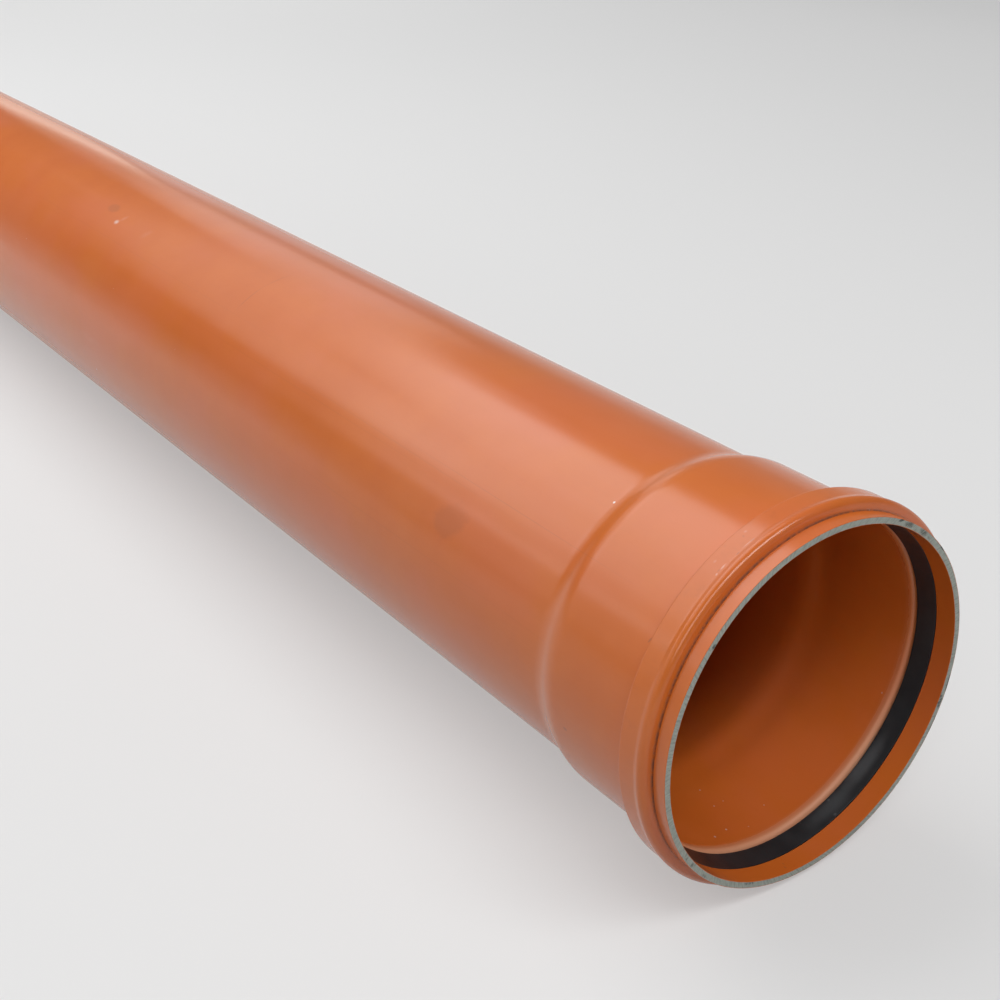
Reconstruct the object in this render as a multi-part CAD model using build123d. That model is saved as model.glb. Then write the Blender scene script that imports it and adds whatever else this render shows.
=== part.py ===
from build123d import *

import math
import os

# Push-fit sewer pipe of nominal size 200, lying on a level floor.
# The pipe runs along X with its socket's mouth at the +X end and its plain spigot end at the -X end.
# The origin is on the floor under the middle of the length. Lengths are in millimetres, angles in degrees.
# Depths are measured from the mouth's saw-cut face, towards -X. A rise is how far a surface stands out
# from the one that it is named after, away from the axis.

# Barrel
barrel_radius = 100.0
barrel_wall = 4.9
laying_length = 2000.0
spigot_chamfer_length = 9.0
spigot_chamfer_angle = 15.0

# Socket: its parallel bore, and the taper between that bore and the barrel
socket_depth = 88.0
spigot_clearance = 0.35
bell_wall = 4.35
taper_length = 24.0
taper_lag = 4.0

# Mouth: the lip from the saw-cut face back to the crease in front of the bead
mouth_bore_rise = 2.65
mouth_wall = 3.9
lip_length = 8.4
crease_width = 0.9
crease_sink = 0.8

# Bead, seen from outside: a narrow crest at the front, then a flat band that ends in a step
band_rise = 7.3
crest_rise = 1.38
crest_face_length = 2.9
crest_rounding = 2.0
crest_fall_length = 3.4
crest_foot_rounding = 3.0
band_length = 13.4
band_rounding = 0.9
step_length = 2.8
step_foot_rounding = 1.6

# Groove for the seal, inside the bead
groove_wall = 3.9
groove_front_depth = 12.8
groove_front_length = 2.2
groove_top_length = 9.8
groove_rear_length = 4.1
groove_front_rounding = 1.2
groove_rear_rounding = 1.5
groove_edge_rounding = 0.4
shoulder_rounding = 6.0

# Seal ring, which sits in the groove with a small clearance
seal_clearance = 0.3
seal_lip_rise = 0.05
seal_lip_setback = 0.4
seal_lip_rounding = 0.5
seal_back_height = 3.8
seal_back_rounding = 0.9

# Sizes that follow from the ones above
bell_bore_radius = barrel_radius + spigot_clearance
bell_radius = bell_bore_radius + bell_wall
barrel_bore_radius = barrel_radius - barrel_wall
mouth_bore_radius = bell_bore_radius + mouth_bore_rise
lip_radius = mouth_bore_radius + mouth_wall
band_radius = bell_radius + band_rise
groove_radius = band_radius - groove_wall
spigot_end_radius = barrel_radius - spigot_chamfer_length * math.tan(math.radians(spigot_chamfer_angle))
total_length = laying_length + socket_depth
mouth_x = total_length / 2

# Depths that follow from the ones above, in order from the mouth
crease_depth = lip_length + crease_width
crest_depth = crease_depth + crest_face_length
band_front_depth = crest_depth + crest_fall_length
band_rear_depth = band_front_depth + band_length
step_foot_depth = band_rear_depth + step_length
groove_top_front_depth = groove_front_depth + groove_front_length
groove_top_rear_depth = groove_top_front_depth + groove_top_length
shoulder_depth = groove_top_rear_depth + groove_rear_length


def taper(start_depth, from_radius, to_radius):
    """Two corners, each with its rounding, that make one smooth S between two radii."""
    quarter = taper_length / 4
    slope = math.atan(abs(from_radius - to_radius) / (2 * quarter))
    rounding = quarter / math.tan(slope / 2)
    first = (start_depth + quarter, from_radius, rounding)
    second = (start_depth + 3 * quarter, to_radius, rounding)
    return [first, second]


def turned(corners):
    """Solid turned about the pipe's axis from corners given as depth, radius and rounding."""
    points = [(mouth_x - depth, radius) for depth, radius, rounding in corners]
    roundings = [rounding for depth, radius, rounding in corners]
    with BuildPart() as body:
        with BuildSketch(Plane.XZ):
            with BuildLine():
                FilletPolyline(points, radius=roundings, close=True)
            make_face()
        revolve(axis=Axis.X)
    return body.part


def pipe():
    """Barrel, socket, bead and lip: one extruded and socket-formed piece."""
    outside = [
        (0, lip_radius, 0),
        (lip_length, lip_radius, 0),
        (crease_depth, lip_radius - crease_sink, 0),
        (crest_depth, band_radius + crest_rise, crest_rounding),
        (band_front_depth, band_radius, crest_foot_rounding),
        (band_rear_depth, band_radius, band_rounding),
        (step_foot_depth, bell_radius, step_foot_rounding),
        *taper(socket_depth + taper_lag, bell_radius, barrel_radius),
        (total_length - spigot_chamfer_length, barrel_radius, 0),
        (total_length, spigot_end_radius, 0),
    ]
    inside = [
        (0, mouth_bore_radius, 0),
        (groove_front_depth, mouth_bore_radius, groove_edge_rounding),
        (groove_top_front_depth, groove_radius, groove_front_rounding),
        (groove_top_rear_depth, groove_radius, groove_rear_rounding),
        (shoulder_depth, bell_bore_radius, shoulder_rounding),
        *taper(socket_depth, bell_bore_radius, barrel_bore_radius),
        (total_length, barrel_bore_radius, 0),
    ]
    return turned(outside + inside[::-1])


def seal_ring():
    """Rubber ring that fills the groove, with its lip at the back standing in a little from the mouth's bore."""
    groove_height = groove_radius - bell_bore_radius
    rear_slope = groove_rear_length / groove_height
    rear_gap = seal_clearance * math.hypot(1, rear_slope)
    heel_radius = groove_radius - seal_clearance
    back_radius = bell_bore_radius + seal_back_height
    front_depth = groove_front_depth + seal_clearance
    heel_front_depth = groove_top_front_depth + seal_clearance
    heel_rear_depth = groove_top_rear_depth + seal_clearance * rear_slope - rear_gap
    back_depth = shoulder_depth - seal_back_height * rear_slope - rear_gap
    lip_depth = groove_top_rear_depth - seal_lip_setback
    section = [
        (front_depth, mouth_bore_radius, 0),
        (heel_front_depth, heel_radius, groove_front_rounding - seal_clearance),
        (heel_rear_depth, heel_radius, groove_rear_rounding - seal_clearance),
        (back_depth, back_radius, seal_back_rounding),
        (lip_depth, bell_bore_radius + seal_lip_rise, seal_lip_rounding),
    ]
    return turned(section)


pipe_body = pipe()
seal_body = seal_ring()

# The bead's crest is the widest place, so it touches the floor and sets the height of the axis.
onto_floor = Location((0, 0, pipe_body.bounding_box().max.Z))

os.makedirs("parts", exist_ok=True)
export_step(pipe_body.moved(onto_floor), "parts/pipe.step")
export_step(seal_body.moved(onto_floor), "parts/seal_ring.step")
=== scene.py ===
import math

import bpy
from mathutils import Matrix, Vector, noise


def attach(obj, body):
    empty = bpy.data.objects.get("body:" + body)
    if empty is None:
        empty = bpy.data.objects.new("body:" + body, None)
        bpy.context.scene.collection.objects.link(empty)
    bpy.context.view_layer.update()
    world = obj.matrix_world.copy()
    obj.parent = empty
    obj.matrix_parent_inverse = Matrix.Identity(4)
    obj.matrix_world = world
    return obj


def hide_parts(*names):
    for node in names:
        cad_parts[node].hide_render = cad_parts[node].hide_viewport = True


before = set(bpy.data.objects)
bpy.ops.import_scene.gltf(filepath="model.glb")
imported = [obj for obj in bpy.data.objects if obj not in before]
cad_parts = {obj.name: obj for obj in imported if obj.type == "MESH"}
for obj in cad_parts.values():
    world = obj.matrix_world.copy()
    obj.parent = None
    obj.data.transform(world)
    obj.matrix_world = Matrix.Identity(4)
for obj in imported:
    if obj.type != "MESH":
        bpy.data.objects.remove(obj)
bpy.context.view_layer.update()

# The pipe lies along X with its mouth at +X. Depths run from the mouth's saw-cut face towards -X.
# A turn is an angle round the pipe in degrees: 0 at the side that faces the camera, 90 on top.
# Sizes on the pipe are in millimetres. Lamps, the floor and the camera are in metres.
MM = 0.001
MOUTH_X = 1044.0
AXIS_HEIGHT = 112.7695
PIPE_LENGTH = 2088.0
BARREL_RADIUS = 100.0
BARREL_BORE_RADIUS = 95.1
SPIGOT_CHAMFER = 9.0

# How finely the turned meshes are made
POINTS_AROUND = 360
SHARP_EDGE_DEGREES = 28

# Radii between which the grey middle layer shows on the saw-cut mouth and on the spigot's end
MOUTH_GREY = (103.22, 106.62)
SPIGOT_GREY = (95.35, 99.75)

# Sections as corners: depth, radius, rounding
PIPE_OUTSIDE = [
    (0.0, 106.8, 0.0),
    (0.1, 106.9, 0.0),
    (8.4, 106.9, 1.2),
    (9.3, 106.1, 0.0),
    (11.02, 113.8, 4.0),
    (17.2, 112.0, 8.0),
    (29.0, 112.0, 0.9),
    (31.8, 104.7, 1.6),
    (98.0, 104.7, 31.8),
    (110.0, 100.0, 31.8),
    (2079.0, 100.0, 0.0),
    (2088.0, 97.59, 0.0),
]
PIPE_INSIDE = [
    (0.0, 103.1, 0.0),
    (0.1, 103.0, 0.0),
    (12.8, 103.0, 0.4),
    (15.0, 108.1, 1.2),
    (24.8, 108.1, 1.5),
    (27.2, 100.35, 3.2),
    (94.0, 100.35, 28.7),
    (106.0, 95.1, 28.7),
    (2088.0, 95.1, 0.0),
]
SEAL_SECTION = [
    (13.1, 103.0, 0.25),
    (15.3, 107.8, 0.9),
    (24.58, 107.8, 1.2),
    (25.71, 104.15, 0.9),
    (24.4, 100.4, 0.5),
]


def rounded(corners):
    """Points of a closed section, as depth and radius, with its corners rounded off."""
    points = []
    for i, (depth, radius, rounding) in enumerate(corners):
        here = Vector((depth, radius))
        back = (Vector(corners[i - 1][:2]) - here).normalized()
        ahead = (Vector(corners[(i + 1) % len(corners)][:2]) - here).normalized()
        bend = math.pi - back.angle(ahead)
        if rounding == 0:
            points.append(here)
            continue
        start = here + back * rounding * math.tan(bend / 2)
        centre = here + (back + ahead).normalized() * rounding / math.cos(bend / 2)
        spoke_in = start - centre
        spoke_out = here + ahead * rounding * math.tan(bend / 2) - centre
        steps = max(3, math.ceil(math.degrees(bend) / 7), math.ceil(bend * rounding / 1.5))
        for k in range(steps + 1):
            part = k / steps
            near = math.sin((1 - part) * bend) / math.sin(bend)
            far = math.sin(part * bend) / math.sin(bend)
            points.append(centre + spoke_in * near + spoke_out * far)
    return points


def with_extra_rings(points, step=0.6, longest=60.0):
    """The same section with a point close to both ends of each straight run, and more along long runs."""
    result = []
    for i, here in enumerate(points):
        there = points[(i + 1) % len(points)]
        run = there - here
        result.append(here)
        if run.length > 4 * step:
            inner = run.length - 2 * step
            count = math.ceil(inner / longest)
            for k in range(count + 1):
                result.append(here + run.normalized() * (step + inner * k / count))
    return result


def turned_mesh(name, section, around):
    """Closed mesh turned about the pipe's axis, smooth except at its sharp corners."""
    vertices = []
    for depth, radius in section:
        for k in range(around):
            angle = 2 * math.pi * k / around
            vertices.append(((MOUTH_X - depth) * MM,
                             radius * math.sin(angle) * MM,
                             (AXIS_HEIGHT - radius * math.cos(angle)) * MM))
    faces = []
    rings = len(section)
    for i in range(rings):
        this_ring = i * around
        next_ring = (i + 1) % rings * around
        for k in range(around):
            after = (k + 1) % around
            faces.append((this_ring + k, this_ring + after, next_ring + after, next_ring + k))
    mesh = bpy.data.meshes.new(name)
    mesh.from_pydata(vertices, [], faces)
    mesh.validate()
    mesh.shade_smooth()
    mesh.set_sharp_from_angle(angle=math.radians(SHARP_EDGE_DEGREES))
    piece = bpy.data.objects.new(name, mesh)
    bpy.context.scene.collection.objects.link(piece)
    return piece


def roughen_cut(piece):
    """Leaves the saw-cut mouth a little uneven, without moving any point out past its plane."""
    near_cut = 0.2
    wave_depth = 0.12
    for vertex in piece.data.vertices:
        depth = MOUTH_X - vertex.co.x / MM
        if depth < near_cut:
            waves = noise.noise(vertex.co * 260) + 0.5 * noise.noise(vertex.co * 900)
            vertex.co.x -= abs(waves) * wave_depth * MM


def show_wall_layers(piece):
    """Gives the second material to the saw-cut mouth and to the spigot's chamfer and end."""
    for face in piece.data.polygons:
        corners = [piece.data.vertices[v].co / MM for v in face.vertices]
        depths = [MOUTH_X - corner.x for corner in corners]
        radii = [math.hypot(corner.y, corner.z - AXIS_HEIGHT) for corner in corners]
        at_mouth = max(depths) < 0.05
        past_barrel = min(depths) > PIPE_LENGTH - SPIGOT_CHAMFER - 0.05
        across_wall = min(radii) < BARREL_RADIUS - 0.01 and max(radii) > BARREL_BORE_RADIUS + 0.01
        face.material_index = 1 if at_mouth or (past_barrel and across_wall) else 0


class Wiring:
    """Adds and links nodes in one material or node group."""

    def __init__(self, tree):
        self.tree = tree

    def put(self, kind, values=None, **settings):
        node = self.tree.nodes.new(kind)
        for key, value in settings.items():
            setattr(node, key, value)
        for key, value in (values or {}).items():
            self.feed(node.inputs[key], value)
        return node

    def feed(self, socket, value):
        if isinstance(value, bpy.types.NodeSocket):
            self.tree.links.new(value, socket)
        else:
            socket.default_value = value

    def maths(self, operation, first, second=0.0, third=0.0, clamp=False):
        values = {0: first, 1: second, 2: third}
        return self.put("ShaderNodeMath", values, operation=operation, use_clamp=clamp).outputs[0]

    def ramp(self, value, low, high, out_low=0.0, out_high=1.0):
        """Smooth step of a value from one range to another."""
        values = {"Value": value, "From Min": low, "From Max": high, "To Min": out_low, "To Max": out_high}
        return self.put("ShaderNodeMapRange", values, interpolation_type="SMOOTHSTEP").outputs[0]

    def blend(self, share, first, second, mode="MIX"):
        node = self.put("ShaderNodeMix", data_type="RGBA", blend_type=mode)
        self.feed(node.inputs[0], share)
        self.feed(node.inputs[6], first)
        self.feed(node.inputs[7], second)
        return node.outputs[2]

    def cloud(self, vector, scale, detail=3.0, roughness=0.5):
        values = {"Vector": vector, "Scale": scale, "Detail": detail, "Roughness": roughness}
        return self.put("ShaderNodeTexNoise", values).outputs["Fac"]

    def stretch(self, vector, factors):
        return self.put("ShaderNodeVectorMath", {0: vector, 1: factors}, operation="MULTIPLY").outputs[0]

    def group(self, tree, values=None):
        node = self.tree.nodes.new("ShaderNodeGroup")
        node.node_tree = tree
        for key, value in (values or {}).items():
            self.feed(node.inputs[key], value)
        return node


def new_group(name, inputs, outputs):
    """Empty node group with its sockets; inputs are name, kind, default and outputs are name, kind."""
    tree = bpy.data.node_groups.new(name, "ShaderNodeTree")
    for label, kind, default in inputs:
        socket = tree.interface.new_socket(name=label, in_out="INPUT", socket_type=kind)
        if default is not None:
            socket.default_value = default
    for label, kind in outputs:
        tree.interface.new_socket(name=label, in_out="OUTPUT", socket_type=kind)
    w = Wiring(tree)
    return tree, w, w.put("NodeGroupInput"), w.put("NodeGroupOutput")


VALUE = "NodeSocketFloat"
VECTOR = "NodeSocketVector"


def place_on_pipe():
    """Depth, radius and turn of a point, and its place in millimetres on the unrolled barrel and in space."""
    tree, w, _, out = new_group("place on pipe", [], [
        ("Depth", VALUE), ("Radius", VALUE), ("Turn", VALUE), ("Unrolled", VECTOR), ("Solid", VECTOR)])
    coords = w.put("ShaderNodeTexCoord").outputs["Object"]
    axis = (0, 0, AXIS_HEIGHT * MM)
    from_axis = w.put("ShaderNodeVectorMath", {0: coords, 1: axis}, operation="SUBTRACT").outputs[0]
    solid = w.put("ShaderNodeVectorMath", {0: from_axis, "Scale": 1 / MM}, operation="SCALE").outputs[0]
    split = w.put("ShaderNodeSeparateXYZ", {0: solid})
    along, side, up = split.outputs
    depth = w.maths("SUBTRACT", MOUTH_X, along)
    squares = w.maths("ADD", w.maths("MULTIPLY", side, side), w.maths("MULTIPLY", up, up))
    radius = w.maths("SQRT", squares)
    angle = w.maths("ARCTAN2", up, w.maths("MULTIPLY", side, -1.0))
    turn = w.maths("DEGREES", angle)
    unrolled = w.put("ShaderNodeCombineXYZ", {0: depth, 1: w.maths("MULTIPLY", angle, BARREL_RADIUS)})
    w.feed(out.inputs["Depth"], depth)
    w.feed(out.inputs["Radius"], radius)
    w.feed(out.inputs["Turn"], turn)
    w.feed(out.inputs["Unrolled"], unrolled.outputs[0])
    w.feed(out.inputs["Solid"], solid)
    return tree


def spot_mark():
    """Mask of one ragged oval mark on the unrolled surface. With no lean its length runs along the pipe."""
    tree, w, given, out = new_group("spot mark", [
        ("Unrolled", VECTOR, None), ("Centre Depth", VALUE, 0.0), ("Centre Turn", VALUE, 0.0),
        ("Half Length", VALUE, 5.0), ("Half Width", VALUE, 5.0), ("Lean", VALUE, 0.0),
        ("Softness", VALUE, 0.3), ("Raggedness", VALUE, 0.2), ("Grain", VALUE, 0.5)], [("Mask", VALUE)])
    split = w.put("ShaderNodeSeparateXYZ", {0: given.outputs["Unrolled"]})
    x = w.maths("SUBTRACT", split.outputs[0], given.outputs["Centre Depth"])
    arc = w.maths("MULTIPLY", given.outputs["Centre Turn"], math.radians(1) * BARREL_RADIUS)
    y = w.maths("SUBTRACT", split.outputs[1], arc)
    lean = w.maths("RADIANS", given.outputs["Lean"])
    cos = w.maths("COSINE", lean)
    sin = w.maths("SINE", lean)
    along = w.maths("ADD", w.maths("MULTIPLY", x, cos), w.maths("MULTIPLY", y, sin))
    across = w.maths("SUBTRACT", w.maths("MULTIPLY", y, cos), w.maths("MULTIPLY", x, sin))
    far = w.maths("DIVIDE", along, given.outputs["Half Length"])
    wide = w.maths("DIVIDE", across, given.outputs["Half Width"])
    squares = w.maths("ADD", w.maths("MULTIPLY", far, far), w.maths("MULTIPLY", wide, wide))
    reach = w.maths("SQRT", squares)
    wobble = w.maths("SUBTRACT", given.outputs["Grain"], 0.5)
    wobble = w.maths("MULTIPLY", wobble, given.outputs["Raggedness"])
    reach = w.maths("ADD", reach, w.maths("MULTIPLY", wobble, 4.0))
    low = w.maths("SUBTRACT", 1.0, given.outputs["Softness"])
    high = w.maths("ADD", 1.0, given.outputs["Softness"])
    w.feed(out.inputs["Mask"], w.ramp(reach, low, high, 1.0, 0.0))
    return tree


def fine_specks():
    """Mask of sparse small specks, such as dust grains, scattered over a surface."""
    tree, w, given, out = new_group("fine specks", [
        ("Solid", VECTOR, None), ("Spacing", VALUE, 10.0), ("Size", VALUE, 0.6), ("Share", VALUE, 0.4)],
        [("Mask", VALUE)])
    cells = w.put("ShaderNodeTexVoronoi", {
        "Vector": given.outputs["Solid"], "Scale": w.maths("DIVIDE", 1.0, given.outputs["Spacing"])})
    pick = w.put("ShaderNodeSeparateColor", {0: cells.outputs["Color"]})
    size = w.maths("DIVIDE", given.outputs["Size"], given.outputs["Spacing"])
    size = w.maths("MULTIPLY", size, w.maths("ADD", 0.4, pick.outputs[1]))
    dot = w.maths("LESS_THAN", cells.outputs["Distance"], size)
    kept = w.maths("LESS_THAN", pick.outputs[0], given.outputs["Share"])
    w.feed(out.inputs["Mask"], w.maths("MULTIPLY", dot, kept))
    return tree


def soft_patches():
    """Mask of broad uneven patches, such as a thin film of dust or handling grime."""
    tree, w, given, out = new_group("soft patches", [
        ("Solid", VECTOR, None), ("Size", VALUE, 40.0), ("Cover", VALUE, 0.5), ("Fade", VALUE, 0.2)],
        [("Mask", VALUE)])
    scale = w.maths("DIVIDE", 1.0, given.outputs["Size"])
    cloud = w.cloud(given.outputs["Solid"], scale, 5.0, 0.6)
    edge = w.maths("SUBTRACT", 1.0, given.outputs["Cover"])
    low = w.maths("SUBTRACT", edge, given.outputs["Fade"])
    high = w.maths("ADD", edge, given.outputs["Fade"])
    w.feed(out.inputs["Mask"], w.ramp(cloud, low, high))
    return tree


PLACE = place_on_pipe()
SPOT = spot_mark()
SPECKS = fine_specks()
PATCHES = soft_patches()

# Marks on the outside: depth, turn, half length, half width, lean, softness, raggedness, grain size, strength
DARK_MARKS = [
    (796, 64.7, 9.0, 4.6, 0, 0.35, 0.05, 4, 0.26),
    (214, 27.4, 14.0, 10.0, -22, 0.35, 0.35, 10, 0.20),
    (530, 60.0, 0.6, 11.0, 3, 0.6, 0.15, 5, 0.24),
    (527, 73.0, 0.5, 9.0, 12, 0.6, 0.15, 5, 0.20),
    (83.2, -10.2, 1.5, 0.9, 0, 0.4, 0.2, 1, 0.45),
    (17.6, 62.7, 0.35, 0.9, 0, 0.5, 0.3, 1, 0.45),
    (18.8, 56.2, 0.35, 0.8, 0, 0.5, 0.3, 1, 0.40),
    (17.9, 68.0, 0.3, 1.6, 0, 0.6, 0.3, 1, 0.35),
    (23.6, 67.7, 0.8, 0.5, 20, 0.6, 0.3, 1, 0.22),
    (26.8, 62.7, 0.6, 0.5, 0, 0.6, 0.3, 1, 0.15),
    (35.6, 31.8, 0.5, 1.5, 20, 0.5, 0.2, 1, 0.45),
    (32.7, 32.6, 0.4, 0.9, 0, 0.5, 0.2, 1, 0.3),
]
PALE_MARKS = [
    (771, 58.9, 2.6, 1.7, 0, 0.9, 0.15, 2, 0.5),
    (766.5, 62.4, 2.0, 3.4, 30, 0.8, 0.15, 2, 0.06),
    (717, 61.0, 3.0, 5.0, 30, 0.8, 0.2, 3, 0.025),
    (113.9, 60.7, 0.7, 0.7, 0, 0.4, 0.1, 1, 0.9),
    (18.4, 57.6, 0.35, 1.5, 0, 0.6, 0.3, 1, 0.28),
    (18.1, 66.8, 0.25, 3.0, 2, 0.8, 0.3, 2, 0.13),
    (18.2, 55.1, 0.4, 0.6, 0, 0.6, 0.3, 1, 0.25),
    (24.4, 57.8, 0.6, 0.7, 0, 0.8, 0.3, 1, 0.08),
    (25.2, 69.2, 0.6, 0.7, 0, 0.8, 0.3, 1, 0.10),
    (9.3, 106.8, 0.25, 0.25, 0, 0.4, 0.1, 1, 0.9),
]
# Marks on the inside, in the same order of numbers: dark ones, then specks of dust and a painted highlight
BORE_DIRT_AND_SHADE_MARKS = [
    # The first two are thin lines of painted shade beside a small burr on the shoulder; the rest are dirt.
    (26.62, -138.6, 0.10, 6.0, 0, 0.5, 0.05, 3, 0.8),
    (26.68, -129.0, 0.10, 8.5, 0, 0.5, 0.05, 3, 0.75),
    (26.7, -77.9, 0.3, 0.5, 0, 0.4, 0.1, 1, 0.6),
    (7.1, -85.2, 0.9, 0.25, 12, 0.5, 0.1, 1, 0.35),
    (4.3, -84.4, 0.9, 0.3, 12, 0.5, 0.1, 1, 0.4),
]
BORE_DUST_AND_HIGHLIGHT = [
    (80.7, -88.0, 0.55, 0.5, 0, 0.4, 0.1, 1, 0.5),
    (64.6, -85.9, 0.5, 0.45, 0, 0.4, 0.1, 1, 0.5),
    (65.3, -90.3, 0.4, 0.4, 0, 0.4, 0.1, 1, 0.4),
    (47.7, -99.1, 0.5, 0.4, 0, 0.4, 0.1, 1, 0.4),
    (43.8, -80.1, 0.6, 0.6, 0, 0.4, 0.1, 1, 0.7),
    (40.1, -73.0, 0.7, 0.55, 0, 0.4, 0.1, 1, 0.75),
    (39.7, -87.8, 0.4, 0.4, 0, 0.4, 0.1, 1, 0.4),
    (33.8, -154.4, 0.4, 0.5, 0, 0.4, 0.1, 1, 0.6),
    # A thin pale line painted as the highlight on the edge of that burr.
    (26.45, -134.0, 0.08, 14.0, 0, 0.5, 0.05, 3, 0.4),
]
# Pale patches on the seal, in the same order of numbers: the first three painted as a soft sheen, the rest
# specks of dust
SEAL_SHEEN_AND_DUST = [
    (20.5, -131.5, 3.2, 16.0, 0, 0.7, 0.1, 6, 0.62),
    (19.5, -113.0, 3.6, 14.0, 0, 0.7, 0.1, 6, 0.42),
    (23.5, -127.0, 2.0, 6.0, 0, 0.7, 0.2, 3, 0.30),
    (23.0, -114.5, 0.6, 0.8, 0, 0.5, 0.2, 1, 0.6),
    (14.6, -112.2, 0.7, 0.9, 0, 0.5, 0.2, 1, 0.7),
    (24.2, -65.0, 0.6, 0.5, 0, 0.4, 0.1, 1, 0.9),
]
# Stains and chips on the saw-cut mouth: radius, turn, half height, half width, and on as above
MOUTH_STAINS = [
    (106.3, 115.4, 0.7, 2.2, -20, 0.4, 0.2, 1, 0.95),
    (105.2, 119.6, 1.5, 3.4, 0, 0.5, 0.35, 1, 0.75),
    (105.2, 127.6, 1.4, 3.0, 0, 0.5, 0.35, 1, 0.75),
    (104.6, 131.0, 0.7, 1.4, 0, 0.5, 0.3, 1, 0.5),
    (106.6, 139.8, 0.45, 3.2, 0, 0.3, 0.2, 1, 1.0),
    (103.8, 39.6, 0.9, 1.6, 25, 0.4, 0.3, 1, 0.9),
    (105.4, -32.2, 0.9, 0.9, 20, 0.5, 0.3, 1, 0.6),
    (105.2, -36.4, 1.0, 1.1, 30, 0.5, 0.3, 1, 0.7),
    (105.4, -44.4, 0.6, 1.8, 10, 0.5, 0.3, 1, 0.5),
    (103.9, -66.2, 0.9, 3.4, 0, 0.5, 0.35, 1, 0.7),
    (106.3, -167.0, 0.5, 5.0, 0, 0.4, 0.2, 2, 0.8),
    (104.3, -161.4, 1.7, 4.6, -15, 0.4, 0.3, 2, 0.8),
    (106.4, -151.5, 0.4, 8.0, 0, 0.5, 0.2, 3, 0.6),
]
# Thin lines that the die has drawn along the pipe: depth, turn, half length, half width, lean, strength
DRAWN_LINES = [
    (175, 42.5, 80, 0.3, 0.35, 0.18),
    (300, 40.5, 95, 0.35, 0.5, 0.10),
    (420, 38.0, 160, 0.4, 0.0, 0.07),
    (700, 50.0, 260, 0.4, 0.1, 0.06),
    (260, 12.0, 150, 0.4, 0.0, 0.07),
]

# Colours of the plastic, the sawn face and the rubber, in linear light
ORANGE_BROWN = (0.62, 0.148, 0.021, 1)
DEEP_ORANGE = (0.595, 0.136, 0.019, 1)
BLUSH_ORANGE = (0.625, 0.146, 0.042, 1)
# Pale orange of the shoulder behind the seal, partly wear and partly a painted highlight
WORN_AND_HIGHLIGHT_ORANGE = (0.68, 0.37, 0.23, 1)
# Pale dust, also the colour of a painted highlight on a burr inside
PALE_DUST_AND_HIGHLIGHT = (0.66, 0.56, 0.48, 1)
WHITE_SCUFF = (0.88, 0.80, 0.74, 1)
# Dark brown of dirt and of the darker crease line, also painted as shade beside a burr inside
DIRT_AND_SHADE_BROWN = (0.17, 0.08, 0.06, 1)
GRIME = (0.26, 0.085, 0.034, 1)
CUT_GREY = (0.42, 0.45, 0.40, 1)
CUT_SPECK = (0.17, 0.175, 0.15, 1)
CUT_STAIN = (0.030, 0.032, 0.028, 1)
SEAL_BLACK = (0.010, 0.012, 0.014, 1)
# Grey of dust on the seal, also used for patches of painted sheen
SEAL_DUST_AND_SHEEN_GREY = (0.085, 0.092, 0.098, 1)


def new_material(name):
    """Material with its wiring and its shader."""
    material = bpy.data.materials.new(name)
    material.use_nodes = True
    return material, Wiring(material.node_tree), material.node_tree.nodes["Principled BSDF"]


def marked(w, colour, places, part, marks, tint):
    """The colour with each mark of a list laid over it, within the part of the surface that a mask gives."""
    sizes = sorted({grain_size for *_, grain_size, _ in marks})
    grains = {size: w.cloud(places, 1 / size, 3.0, 0.6) for size in sizes}
    for depth, turn, half_length, half_width, lean, softness, raggedness, grain_size, strength in marks:
        mark = w.group(SPOT, {
            "Unrolled": places, "Centre Depth": depth, "Centre Turn": turn, "Half Length": half_length,
            "Half Width": half_width, "Lean": lean, "Softness": softness, "Raggedness": raggedness,
            "Grain": grains[grain_size]})
        share = w.maths("MULTIPLY", w.maths("MULTIPLY", mark.outputs[0], part), strength)
        colour = w.blend(share, colour, tint)
    return colour


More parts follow.
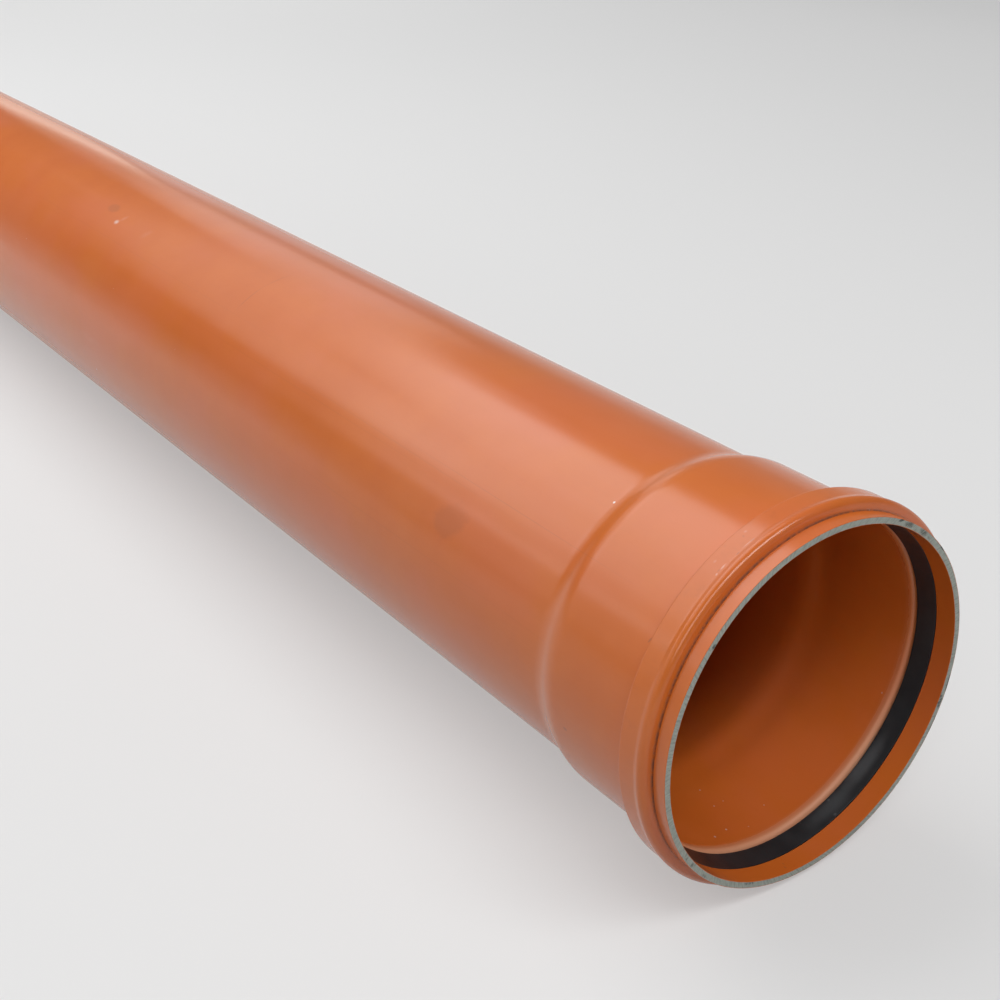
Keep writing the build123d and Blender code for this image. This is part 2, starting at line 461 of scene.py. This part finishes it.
def pipe_plastic():
    """Satin orange-brown plastic, as extruded and handled in a store."""
    material, w, shader = new_material("orange_brown_plastic")
    depth, radius, turn, unrolled, solid = w.group(PLACE).outputs
    # A radius within the wall at every depth tells the outside from the inside. It starts at the
    # barrel's, and rises for the socket, the groove and the lip.
    socket_part = w.ramp(depth, 96, 110, 1.0, 0.0)
    split_radius = w.maths("ADD", 97.6, w.maths("MULTIPLY", socket_part, 6.0))
    bead_part = w.ramp(depth, 31.5, 32.5, 1.0, 0.0)
    groove_part = w.maths("MULTIPLY", bead_part, w.ramp(depth, 11.5, 12.5))
    split_radius = w.maths("ADD", split_radius, w.maths("MULTIPLY", groove_part, 6.6))
    lip_part = w.ramp(depth, 11.5, 12.5, 1.0, 0.0)
    split_radius = w.maths("ADD", split_radius, w.maths("MULTIPLY", lip_part, 1.4))
    outside = w.maths("GREATER_THAN", radius, split_radius)

    along_fibres = w.stretch(solid, (0.02, 1.0, 1.0))
    drawn = w.cloud(along_fibres, 0.9, 4.0, 0.65)
    mottle = w.cloud(solid, 0.02, 4.0, 0.55)
    colour = w.blend(w.ramp(mottle, 0.3, 0.7), ORANGE_BROWN, DEEP_ORANGE)
    blush = w.cloud(w.stretch(solid, (0.6, 1.0, 1.0)), 0.013, 3.0, 0.5)
    colour = w.blend(w.ramp(blush, 0.4, 0.65, 0.0, 0.6), colour, BLUSH_ORANGE)
    colour = w.blend(w.ramp(drawn, 0.45, 0.8, 0.0, 0.035), colour, GRIME)

    streaky = w.stretch(solid, (0.35, 1.0, 1.0))
    film = w.group(PATCHES, {"Solid": streaky, "Size": 70.0, "Cover": 0.42, "Fade": 0.16})
    far_part = w.ramp(depth, 560, 800)
    low_side = w.maths("MULTIPLY", w.ramp(turn, -35, -5), w.ramp(turn, 22, 34, 1.0, 0.0))
    scuffed = w.maths("MULTIPLY", w.maths("MULTIPLY", far_part, low_side), film.outputs[0])
    smears = w.cloud(w.stretch(solid, (0.22, 1.0, 1.0)), 0.055, 3.0, 0.55)
    smears = w.ramp(smears, 0.42, 0.74)
    scuffed = w.maths("MULTIPLY", w.maths("MULTIPLY", scuffed, smears), 0.08)
    dust = w.maths("MULTIPLY", film.outputs[0], 0.02)
    dust = w.maths("MULTIPLY", w.maths("MAXIMUM", dust, scuffed), outside)
    colour = w.blend(dust, colour, PALE_DUST_AND_HIGHLIGHT)

    on_band = w.maths("MULTIPLY", w.ramp(depth, 14.5, 15.5), w.ramp(depth, 28.5, 29.5, 1.0, 0.0))
    rubbed = w.group(PATCHES, {"Solid": solid, "Size": 9.0, "Cover": 0.38, "Fade": 0.1})
    rubbed = w.maths("MULTIPLY", w.maths("MULTIPLY", rubbed.outputs[0], on_band), 0.09)
    colour = w.blend(w.maths("MULTIPLY", rubbed, outside), colour, GRIME)

    colour = marked(w, colour, unrolled, outside, DARK_MARKS, GRIME)
    for line_depth, line_turn, half_length, half_width, lean, strength in DRAWN_LINES:
        mark = w.group(SPOT, {
            "Unrolled": unrolled, "Centre Depth": line_depth, "Centre Turn": line_turn,
            "Half Length": half_length, "Half Width": half_width, "Lean": lean, "Softness": 0.7,
            "Raggedness": 0.0})
        share = w.maths("MULTIPLY", w.maths("MULTIPLY", mark.outputs[0], outside), strength)
        colour = w.blend(share, colour, GRIME)
    colour = marked(w, colour, unrolled, outside, PALE_MARKS, WHITE_SCUFF)
    inside = w.maths("SUBTRACT", 1.0, outside)
    # Dust inside, with a painted highlight and lines of painted shade at a small burr behind the seal.
    colour = marked(w, colour, unrolled, inside, BORE_DUST_AND_HIGHLIGHT, PALE_DUST_AND_HIGHLIGHT)
    colour = marked(w, colour, unrolled, inside, BORE_DIRT_AND_SHADE_MARKS, DIRT_AND_SHADE_BROWN)

    # A pale strip on the shoulder behind the seal: partly wear, strongest at the bottom where a spigot drags
    # on its way in, and partly a painted highlight on the shoulder's rounded edge.
    worn_and_highlight = w.maths("MULTIPLY", w.ramp(depth, 25.2, 26.0), w.ramp(depth, 27.5, 34.0, 0.65, 0.0))
    from_bottom = w.maths("ABSOLUTE", w.maths("ADD", turn, 100.0))
    worn_and_highlight = w.maths("MULTIPLY", worn_and_highlight, w.ramp(from_bottom, 30, 85, 1.0, 0.3))
    worn_and_highlight = w.maths("MULTIPLY", worn_and_highlight, inside)
    colour = w.blend(worn_and_highlight, colour, WORN_AND_HIGHLIGHT_ORANGE)

    # Darker, crumbly line along the crease between the lip and the bead.
    crease = w.maths("MULTIPLY", w.ramp(depth, 8.3, 8.9), w.ramp(depth, 9.4, 9.75, 1.0, 0.0))
    crumbs = w.ramp(w.cloud(solid, 0.3, 4.0, 0.7), 0.32, 0.62, 0.15, 0.78)
    crease = w.maths("MULTIPLY", w.maths("MULTIPLY", crease, outside), crumbs)
    colour = w.blend(crease, colour, DIRT_AND_SHADE_BROWN)

    grains = w.group(SPECKS, {"Solid": solid, "Spacing": 16.0, "Size": 0.45, "Share": 0.16})
    colour = w.blend(w.maths("MULTIPLY", grains.outputs[0], 0.55), colour, WHITE_SCUFF)
    w.feed(shader.inputs["Base Color"], colour)

    sheen = w.cloud(along_fibres, 0.12, 3.0, 0.6)
    rough = w.ramp(sheen, 0.25, 0.75, 0.19, 0.225)
    rough = w.maths("ADD", rough, w.maths("MULTIPLY", dust, 0.5))
    rough = w.maths("ADD", rough, w.maths("MULTIPLY", worn_and_highlight, 0.5))
    rough = w.maths("ADD", rough, w.maths("MULTIPLY", crease, 0.4), clamp=True)
    w.feed(shader.inputs["Roughness"], rough)
    shader.inputs["IOR"].default_value = 1.5
    shader.inputs["Specular IOR Level"].default_value = 0.5

    peel = w.cloud(solid, 0.22, 2.0, 0.5)
    height = w.maths("ADD", w.maths("MULTIPLY", drawn, 0.25), w.maths("MULTIPLY", peel, 0.8))
    height = w.maths("ADD", height, w.maths("MULTIPLY", grains.outputs[0], 1.5))
    bump = w.put("ShaderNodeBump", {"Strength": 0.25, "Distance": 0.00004, "Height": height})
    w.feed(shader.inputs["Normal"], bump.outputs[0])
    return material


def saw_cut_plastic():
    """Sawn face: grey middle layer with saw marks and dirt, between thin orange-brown skins."""
    material, w, shader = new_material("saw_cut_grey_layer")
    depth, radius, turn, unrolled, solid = w.group(PLACE).outputs
    at_spigot = w.maths("GREATER_THAN", depth, PIPE_LENGTH / 2)
    wander = w.maths("MULTIPLY", w.maths("SUBTRACT", w.cloud(solid, 0.35, 3.0, 0.6), 0.5), 0.22)
    edge = w.maths("ADD", radius, wander)
    inner = w.maths("ADD", MOUTH_GREY[0], w.maths("MULTIPLY", at_spigot, SPIGOT_GREY[0] - MOUTH_GREY[0]))
    outer = w.maths("ADD", MOUTH_GREY[1], w.maths("MULTIPLY", at_spigot, SPIGOT_GREY[1] - MOUTH_GREY[1]))
    grey_part = w.maths("MULTIPLY",
                        w.ramp(w.maths("SUBTRACT", edge, inner), -0.05, 0.07),
                        w.ramp(w.maths("SUBTRACT", outer, edge), -0.05, 0.07))
    # Fine teeth marks that lean across the wall, then speckle from the foamed layer, then dirt.
    across = w.maths("SUBTRACT", radius, 105.0)
    lean = w.maths("MULTIPLY", w.maths("SINE", w.maths("RADIANS", turn)), 0.75)
    round_pipe = w.put("ShaderNodeSeparateXYZ", {0: unrolled}).outputs[1]
    arc = w.maths("SUBTRACT", round_pipe, w.maths("MULTIPLY", across, lean))
    strokes = w.put("ShaderNodeCombineXYZ", {0: w.maths("MULTIPLY", across, 0.22), 1: arc}).outputs[0]
    teeth = w.cloud(strokes, 0.8, 3.0, 0.6)
    speckle = w.cloud(solid, 1.3, 3.0, 0.7)
    grey = w.blend(w.ramp(speckle, 0.42, 0.72, 0.0, 0.35), CUT_GREY, CUT_SPECK)
    grey = w.blend(w.ramp(teeth, 0.42, 0.68, 0.0, 0.6), grey, CUT_SPECK)
    smear = w.group(PATCHES, {"Solid": solid, "Size": 16.0, "Cover": 0.36, "Fade": 0.1})
    grey = w.blend(w.maths("MULTIPLY", smear.outputs[0], 0.3), grey, CUT_SPECK)
    face = w.put("ShaderNodeCombineXYZ", {0: radius, 1: round_pipe}).outputs[0]
    at_mouth = w.maths("SUBTRACT", 1.0, at_spigot)
    broken = w.maths("MULTIPLY", at_mouth, w.ramp(teeth, 0.38, 0.54, 0.35, 1.0))
    colour = w.blend(grey_part, DEEP_ORANGE, grey)
    colour = marked(w, colour, face, broken, MOUTH_STAINS, CUT_STAIN)
    w.feed(shader.inputs["Base Color"], colour)
    shader.inputs["Roughness"].default_value = 0.62
    height = w.maths("ADD", w.maths("MULTIPLY", teeth, 1.0), w.maths("MULTIPLY", speckle, 0.6))
    bump = w.put("ShaderNodeBump", {"Strength": 0.5, "Distance": 0.00015, "Height": height})
    w.feed(shader.inputs["Normal"], bump.outputs[0])
    return material


def seal_rubber():
    """Black moulded rubber with a soft sheen and a little dust; some pale patches on its front are painted
    sheen.
    """
    material, w, shader = new_material("black_seal_rubber")
    depth, _, _, unrolled, solid = w.group(PLACE).outputs
    bloom = w.group(PATCHES, {"Solid": solid, "Size": 22.0, "Cover": 0.45, "Fade": 0.2})
    grains = w.group(SPECKS, {"Solid": solid, "Spacing": 6.0, "Size": 0.35, "Share": 0.2})
    film = w.maths("MULTIPLY", bloom.outputs[0], 0.12)
    dust = w.maths("MAXIMUM", film, w.maths("MULTIPLY", grains.outputs[0], 0.6))
    colour = w.blend(dust, SEAL_BLACK, SEAL_DUST_AND_SHEEN_GREY)
    front = w.maths("LESS_THAN", depth, 25.2)
    # Pale patches painted as sheen on the seal's front, with a few specks of dust.
    colour = marked(w, colour, unrolled, front, SEAL_SHEEN_AND_DUST, SEAL_DUST_AND_SHEEN_GREY)
    w.feed(shader.inputs["Base Color"], colour)
    rough = w.ramp(w.cloud(solid, 0.08, 3.0, 0.6), 0.3, 0.7, 0.36, 0.48)
    w.feed(shader.inputs["Roughness"], rough)
    shader.inputs["Specular IOR Level"].default_value = 0.38
    skin = w.cloud(solid, 1.2, 3.0, 0.6)
    bump = w.put("ShaderNodeBump", {"Strength": 0.3, "Distance": 0.0001, "Height": skin})
    w.feed(shader.inputs["Normal"], bump.outputs[0])
    return material


def backdrop_light(w):
    """1 for rays that should meet the pale backdrop: from the camera, mirrored or passed through."""
    path = w.put("ShaderNodeLightPath")
    seen = w.maths("MAXIMUM", path.outputs["Is Camera Ray"], path.outputs["Is Glossy Ray"])
    return w.maths("MAXIMUM", seen, path.outputs["Is Transmission Ray"])


def pale_floor():
    """Pale studio floor that keeps the pipe's soft shadow and stays pale beyond the lamps' reach."""
    material, w, shader = new_material("studio_floor")
    w.tree.nodes.remove(shader)
    spot = w.put("ShaderNodeTexCoord").outputs["Object"]
    distance = w.put("ShaderNodeVectorMath", {0: spot}, operation="LENGTH").outputs["Value"]
    lift = w.maths("MULTIPLY", w.ramp(distance, 1.6, 6.0, 0.38, 0.53), backdrop_light(w))
    matt = w.put("ShaderNodeBsdfDiffuse", {"Color": (0.40, 0.40, 0.40, 1)})
    glow = w.put("ShaderNodeEmission", {"Color": (1, 1, 1, 1), "Strength": lift})
    both = w.put("ShaderNodeAddShader", {0: matt.outputs[0], 1: glow.outputs[0]})
    w.feed(w.tree.nodes["Material Output"].inputs["Surface"], both.outputs[0])
    return material


def studio_world(ambient, horizon):
    """Even dim light, behind which the backdrop is pale near the horizon and dim higher up."""
    world = bpy.data.worlds.new("studio")
    world.use_nodes = True
    w = Wiring(world.node_tree)
    direction = w.put("ShaderNodeTexCoord").outputs["Generated"]
    height = w.put("ShaderNodeSeparateXYZ", {0: direction}).outputs[2]
    pale = w.maths("MULTIPLY", w.ramp(height, 0.04, 0.15, horizon - ambient, 0.0), backdrop_light(w))
    background = world.node_tree.nodes["Background"]
    background.inputs["Color"].default_value = (1, 1, 1, 1)
    w.feed(background.inputs["Strength"], w.maths("ADD", ambient, pale))
    bpy.context.scene.world = world


def soft_lamp(name, place, aim, size, brightness, colour=(1, 1, 1)):
    """Rectangular lamp, its first side along X, whose face looks as bright as stated, where 1 is white."""
    data = bpy.data.lights.new(name, "AREA")
    data.shape = "RECTANGLE"
    data.size, data.size_y = size
    data.energy = brightness * math.pi * size[0] * size[1]
    data.color = colour
    lamp = bpy.data.objects.new(name, data)
    back = (Vector(place) - Vector(aim)).normalized()
    level = Vector((1, 0, 0)) if abs(back.x) < 0.9 else Vector((0, 1, 0))
    across = (level - back * level.dot(back)).normalized()
    up = back.cross(across)
    lamp.matrix_world = Matrix.Translation(place) @ Matrix((across, up, back)).transposed().to_4x4()
    lamp.visible_camera = False
    bpy.context.scene.collection.objects.link(lamp)
    return lamp


def lamp_along_pipe(name, lean_from, lean_to, x_from, x_to, brightness, distance=2.0):
    """Lamp parallel to the pipe, between two angles from the vertical, negative on the camera's side."""
    lean = math.radians((lean_from + lean_to) / 2)
    half = math.radians((lean_to - lean_from) / 2)
    aim = Vector(((x_from + x_to) / 2, 0, AXIS_HEIGHT * MM))
    place = aim + distance * Vector((0, math.sin(lean), math.cos(lean)))
    return soft_lamp(name, place, aim, (x_to - x_from, 2 * distance * math.tan(half)), brightness)


def set_camera():
    """Camera of the photograph, worked out from the mouth's ellipses and the barrel's outline."""
    data = bpy.data.cameras.new("camera")
    data.sensor_fit = "HORIZONTAL"
    data.sensor_width = 36.0
    data.lens = 55.52
    data.clip_start = 0.02
    data.clip_end = 100.0
    camera = bpy.data.objects.new("camera", data)
    right = Vector((0.5802, 0.8145, 0.0)).normalized()
    forward = Vector((-0.7299, 0.5200, -0.4437)).normalized()
    up = right.cross(forward)
    facing = Matrix((right, up, -forward)).transposed().to_4x4()
    camera.matrix_world = Matrix.Translation((1.4924, -0.5240, 0.5646)) @ facing
    bpy.context.scene.collection.objects.link(camera)
    bpy.context.scene.camera = camera


section = with_extra_rings(rounded(PIPE_OUTSIDE + PIPE_INSIDE[::-1]))
pipe = turned_mesh("pipe_extrusion", section, around=POINTS_AROUND)
pipe.data.materials.append(pipe_plastic())
pipe.data.materials.append(saw_cut_plastic())
show_wall_layers(pipe)
roughen_cut(pipe)
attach(pipe, "root")
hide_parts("pipe")

seal = turned_mesh("rubber_seal_ring", with_extra_rings(rounded(SEAL_SECTION)), around=POINTS_AROUND)
seal.data.materials.append(seal_rubber())
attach(seal, "root")
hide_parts("seal_ring")

bpy.ops.mesh.primitive_plane_add(size=60, location=(0, 0, 0))
floor = bpy.context.object
floor.name = "floor"
floor.data.materials.append(pale_floor())

studio_world(ambient=0.13, horizon=0.45)
# Lamps along the pipe: the two angles from the vertical, the two ends along X, and the brightness
lamp_along_pipe("overhead_window", -22, 19, -1.8, -0.25, 2.65)
lamp_along_pipe("overhead_far_end", -48, 30, -3.6, -1.8, 0.9)
lamp_along_pipe("far_side_window", 30, 64, -3.6, -1.8, 0.8)
lamp_along_pipe("overhead_middle", -50, 22, -0.25, 0.4, 2.0)
lamp_along_pipe("window_near_side", -38, -22, -1.8, -0.3, 2.4)
lamp_along_pipe("window_low_side", -50, -38, -1.8, -0.3, 2.1)
lamp_along_pipe("window_lower_edge", -66, -50, -1.8, -0.3, 1.3)
lamp_along_pipe("side_fill", -84, -60, -1.6, 1.0, 0.65)
lamp_along_pipe("far_side_fill", 19, 85, -2.3, 0.0, 0.15)
lamp_along_pipe("front_overhead", -22, 26, 1.85, 2.58, 7.2)
lamp_along_pipe("front_near_side", -66, -22, 1.85, 2.58, 3.6)
# Lamps beyond the spigot's end: place, aim, sides, brightness and colour
soft_lamp("back_panel", (-3.0, 1.19, 0.57), (0.05, 0.01, 0.21), (0.55, 0.34), 1.35, (1.0, 0.97, 0.86))
soft_lamp("back_low_panel", (-2.11, 1.54, 0.42), (0.45, 0.0, 0.21), (0.8, 0.35), 0.35)

set_camera()
scene = bpy.context.scene
scene.view_settings.view_transform = "Standard"
